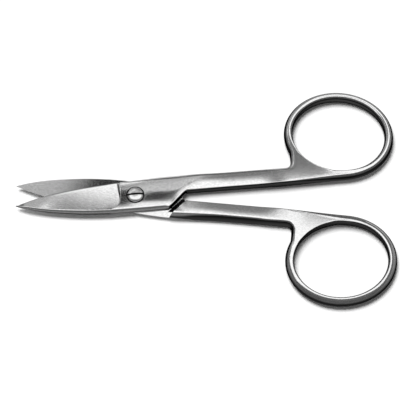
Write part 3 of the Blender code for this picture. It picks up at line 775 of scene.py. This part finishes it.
# The slot's faces and the head's rim and side above the seat get the painted shade.
across = Vector((-math.sin(SLOT_ANGLE), math.cos(SLOT_ANGLE), 0))
for facet in screw.data.polygons:
    out = facet.center - pivot
    in_slot = abs(out.dot(across)) < SLOT_WIDTH / 2 + SLOT_TOLERANCE
    on_rim = out.xy.length > SCREW_HEAD_RADIUS - SCREW_RIM_ROUND
    if out.z > seat and (in_slot or on_rim):
        facet.material_index = 1
bpy.ops.object.select_all(action="DESELECT")
screw.select_set(True)
bpy.context.view_layer.objects.active = screw
bpy.ops.object.shade_smooth_by_angle(angle=SMOOTH_ANGLE)
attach(screw, "rear")
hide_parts("pivot_screw")

# The studio: a plain white floor and a soft key lamp from behind on the left, whose shadow falls to
# the lower right.
FLOOR_SIZE = 4
FLOOR_DROP = 0.02 * MM
KEY_STRENGTH = 3.2
KEY_SPREAD = math.radians(34)
KEY_DIRECTION = (-0.25, 0.34, 1)

bpy.ops.object.select_all(action="DESELECT")
bpy.ops.mesh.primitive_plane_add(size=FLOOR_SIZE, location=(0, 0, -FLOOR_DROP))
floor = bpy.context.object
floor.name = "studio_floor"
white, shader = new_material("white_paper")
shader.inputs["Base Color"].default_value = linear("#ffffff")
shader.inputs["Roughness"].default_value = 1
shader.inputs["Specular IOR Level"].default_value = 0
floor.data.materials.append(white)

key_data = bpy.data.lights.new("key_lamp", "SUN")
key_data.energy = KEY_STRENGTH
key_data.angle = KEY_SPREAD
key = bpy.data.objects.new("key_lamp", key_data)
key.rotation_euler = Vector(KEY_DIRECTION).to_track_quat("Z", "Y").to_euler()
key.visible_glossy = False
bpy.context.scene.collection.objects.link(key)

# What the steel mirrors and nothing else sees: a light tent over the object, and under it small cards
# and two black flags that shape the light on the level faces for the main view. Cards that stand in
# front and at both sides fill the views from low angles.
TENT_HEIGHT = 250
CARD_HEIGHT = 60
LOW_CARD_HEIGHT = 59
LEVEL = 0
UPRIGHT = 90

# Name, light at the card's own left and right, middle and size in mm, turn and tilt in degrees
CARDS = [
    ("light_tent", (1.5, 1.5), (0, 130, TENT_HEIGHT), (460, 400), 0, LEVEL),
    ("shank_card", (0.28, 0.28), (11, 64, CARD_HEIGHT), (20, 70), 0, LEVEL),
    ("shank_root_card", (0.75, 0.28), (-2.5, 62, CARD_HEIGHT), (7, 66), 0, LEVEL),
    ("middle_root_card", (1.0, 0.42), (-0.5, 26.8, CARD_HEIGHT), (9, 4.4), 0, LEVEL),
    ("middle_card", (0.42, 0.42), (12.5, 26.8, CARD_HEIGHT), (17, 4.4), 0, LEVEL),
    ("lower_card", (0.8, 0.8), (12.5, 22.4, CARD_HEIGHT), (17, 4.4), 0, LEVEL),
    ("lower_web_card", (0.7, 0.45), (32, 21.6, CARD_HEIGHT), (13, 7), 0, LEVEL),
    ("web_card", (0.2, 0.2), (27, 38, CARD_HEIGHT), (12, 14), 0, LEVEL),
    ("web_edge_card", (1.6, 1.0), (27, 29, CARD_HEIGHT), (12, 4), 0, LEVEL),
    ("joint_card", (0.85, 0.75), (-13, 37, CARD_HEIGHT), (14, 12), 0, LEVEL),
    ("joint_edge_card", (0.5, 0.75), (-13, 68, CARD_HEIGHT), (14, 50), 0, LEVEL),
    ("blade_card", (0.6, 0.6), (-90, 115, CARD_HEIGHT), (88, 114), 0, LEVEL),
    ("far_card", (0.6, 0.6), (-35, 120, CARD_HEIGHT), (22, 104), 0, LEVEL),
    ("grind_card", (0.2, 2.1), (-35.6, 51.9, LOW_CARD_HEIGHT), (4.6, 30), 58, LEVEL),
    ("ridge_card", (0.22, 0.22), (-39.2, 46.1, LOW_CARD_HEIGHT), (9, 34), 58, LEVEL),
    ("tip_card", (0.6, 0.6), (-49, 26, CARD_HEIGHT), (20, 16), 0, LEVEL),
    ("tip_shade", (0.6, 0.03), (-34.5, 26, CARD_HEIGHT), (9, 16), 0, LEVEL),
    ("joint_flag", (0.01, 0.01), (-11.9, 22, CARD_HEIGHT), (10.8, 15.2), -8, LEVEL),
    ("root_flag", (0.01, 0.01), (-24.2, 23.5, CARD_HEIGHT), (11.6, 25), 0, LEVEL),
    ("root_card", (0.4, 0.4), (-21.5, 43, CARD_HEIGHT), (6, 12), 0, LEVEL),
    ("front_fill", (0.5, 0.5), (0, -700, 170), (1800, 260), 0, UPRIGHT),
    ("left_fill", (0.5, 0.5), (-900, 0, 210), (1400, 330), 90, UPRIGHT),
    ("right_fill", (0.5, 0.5), (900, 0, 210), (1400, 330), 90, UPRIGHT),
]

for name, lights, middle, size, turn, tilt in CARDS:
    bpy.ops.object.select_all(action="DESELECT")
    bpy.ops.mesh.primitive_plane_add(size=1, location=[value * MM for value in middle])
    card = bpy.context.object
    card.name = name
    light = card.data.attributes.new("card_level", "FLOAT", "POINT")
    for vert in card.data.vertices:
        light.data[vert.index].value = lights[1] if vert.co.x > 0 else lights[0]
    card.scale = (size[0] * MM, size[1] * MM, 1)
    card.rotation_euler = (math.radians(tilt), 0, math.radians(turn))
    bpy.ops.object.transform_apply(location=True, rotation=True, scale=True)
    glow, shader = new_material(name)
    shader.inputs["Base Color"].default_value = linear("#000000")
    shader.inputs["Specular IOR Level"].default_value = 0
    shader.inputs["Emission Color"].default_value = linear("#ffffff")
    strength = add_node(glow.node_tree, "ShaderNodeAttribute", {"attribute_name": "card_level"})
    glow.node_tree.links.new(strength.outputs["Fac"], shader.inputs["Emission Strength"])
    glow.cycles.emission_sampling = "NONE"
    card.data.materials.append(glow)
    card.visible_camera = False
    card.visible_diffuse = False
    card.visible_shadow = False

# The room round the studio is dim, which gives the steel its dark outlines.
ROOM_LEVEL = 0.18
world = bpy.data.worlds.new("studio")
world.use_nodes = True
world.node_tree.nodes["Background"].inputs["Color"].default_value = (ROOM_LEVEL, ROOM_LEVEL, ROOM_LEVEL, 1)
bpy.context.scene.world = world

# The camera looks down at 66 degrees from the -Y side, through a long lens.
CAMERA_ELEVATION = math.radians(66)
CAMERA_ROLL = math.radians(0.24)
CAMERA_DISTANCE = 520 * MM
AIM_RIGHT = 17.04 * MM
AIM_UP = -2.62 * MM
SENSOR_WIDTH = 36
FOCAL_LENGTH = 191.5
NEAREST_SEEN = 10 * MM

up = Vector((0, math.sin(CAMERA_ELEVATION), math.cos(CAMERA_ELEVATION)))
toward = Vector((0, -math.cos(CAMERA_ELEVATION), math.sin(CAMERA_ELEVATION)))
picture_right = math.cos(CAMERA_ROLL) * Vector((1, 0, 0)) + math.sin(CAMERA_ROLL) * up
picture_up = math.cos(CAMERA_ROLL) * up - math.sin(CAMERA_ROLL) * Vector((1, 0, 0))
aim = pivot + AIM_RIGHT * picture_right + AIM_UP * picture_up
lens = bpy.data.cameras.new("camera")
lens.sensor_fit = "HORIZONTAL"
lens.sensor_width = SENSOR_WIDTH
lens.lens = FOCAL_LENGTH
lens.clip_start = NEAREST_SEEN
camera = bpy.data.objects.new("camera", lens)
facing_object = Matrix((picture_right, picture_up, toward)).transposed().to_4x4()
camera.matrix_world = Matrix.Translation(aim + CAMERA_DISTANCE * toward) @ facing_object
bpy.context.scene.collection.objects.link(camera)
bpy.context.scene.camera = camera
bpy.context.scene.view_settings.view_transform = "Standard"

bpy.context.view_layer.update()
